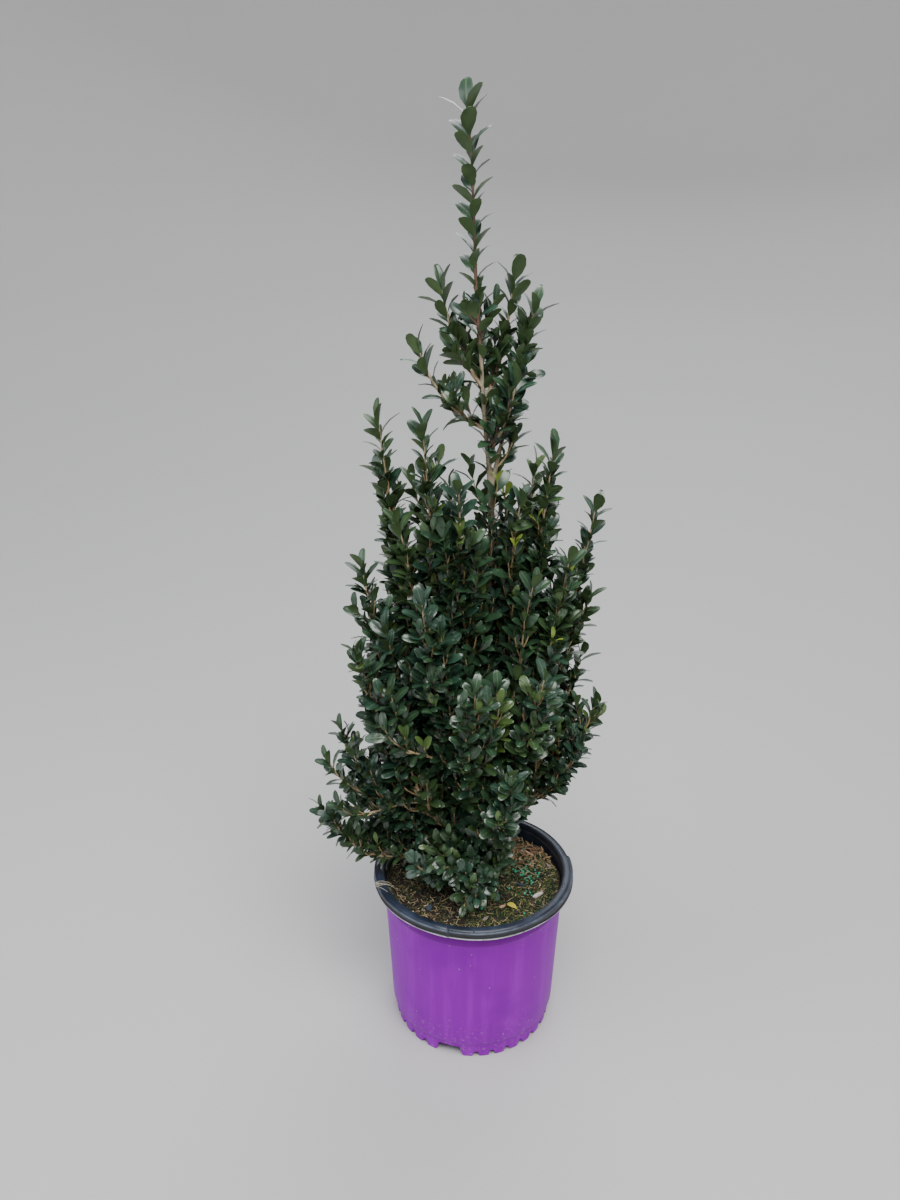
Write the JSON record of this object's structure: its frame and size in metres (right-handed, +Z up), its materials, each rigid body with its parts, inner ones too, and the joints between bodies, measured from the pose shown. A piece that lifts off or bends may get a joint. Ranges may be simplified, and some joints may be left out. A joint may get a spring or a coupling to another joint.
{
  "type": "potted japanese holly",
  "caption": "Young upright evergreen shrub with small glossy leaves on ascending boughs, in a round tapered nursery pot filled with bark soil.",
  "frame": {"origin": "middle of the flat underside of the pot, on the ground", "axes": "+Z up along the pot's axis to the plant's leader, -Y towards the viewer's side, +X to the viewer's right"},
  "size_m": [0.3572, 0.291, 1.0381],
  "materials": {
    "pot_wall": "satin purple plastic",
    "pot_rim": "satin black plastic",
    "soil": "moist bark and peat mix",
    "bark": "thin smooth grey-brown bark",
    "foliage": "glossy dark green leaves"
  },
  "bodies": {
    "root": {"pot_wall": "pot_wall", "pot_rim": "pot_rim", "potting_soil": "soil", "trunk": "bark", "bough_left_high": "bark", "foliage_left_high": "foliage", "bough_front_left_high": "bark", "foliage_front_left_high": "foliage", "bough_front_high": "bark", "foliage_front_high": "foliage", "bough_right_high": "bark", "foliage_right_high": "foliage", "bough_right_outer": "bark", "foliage_right_outer": "foliage", "bough_back_right_high": "bark", "foliage_back_right_high": "foliage", "bough_back_high": "bark", "foliage_back_high": "foliage", "bough_left_middle": "bark", "foliage_left_middle": "foliage", "bough_front_left_middle": "bark", "foliage_front_left_middle": "foliage", "bough_front_middle": "bark", "foliage_front_middle": "foliage", "bough_front_right_middle": "bark", "foliage_front_right_middle": "foliage", "bough_right_middle": "bark", "foliage_right_middle": "foliage", "bough_right_back_middle": "bark", "foliage_right_back_middle": "foliage", "bough_back_right_middle": "bark", "foliage_back_right_middle": "foliage", "bough_back_left_middle": "bark", "foliage_back_left_middle": "foliage", "bough_left_front_low": "bark", "foliage_left_front_low": "foliage", "bough_left_low": "bark", "foliage_left_low": "foliage", "bough_left_skirt": "bark", "foliage_left_skirt": "foliage", "bough_front_right_low": "bark", "foliage_front_right_low": "foliage", "bough_right_low": "bark", "foliage_right_low": "foliage", "bough_back_right_low": "bark", "foliage_back_right_low": "foliage", "bough_back_low": "bark", "foliage_back_low": "foliage", "bough_back_left_low": "bark", "foliage_back_left_low": "foliage", "bough_fork_shoot": "bark", "foliage_fork_shoot": "foliage", "foliage_foot_left": "foliage", "foliage_foot_front": "foliage", "foliage_foot_right": "foliage", "foliage_tuft_left": "foliage", "foliage_tuft_back_left": "foliage", "foliage_tuft_back_right": "foliage", "foliage_tuft_front": "foliage", "foliage_leader": "foliage"}
  },
  "joints": []
}
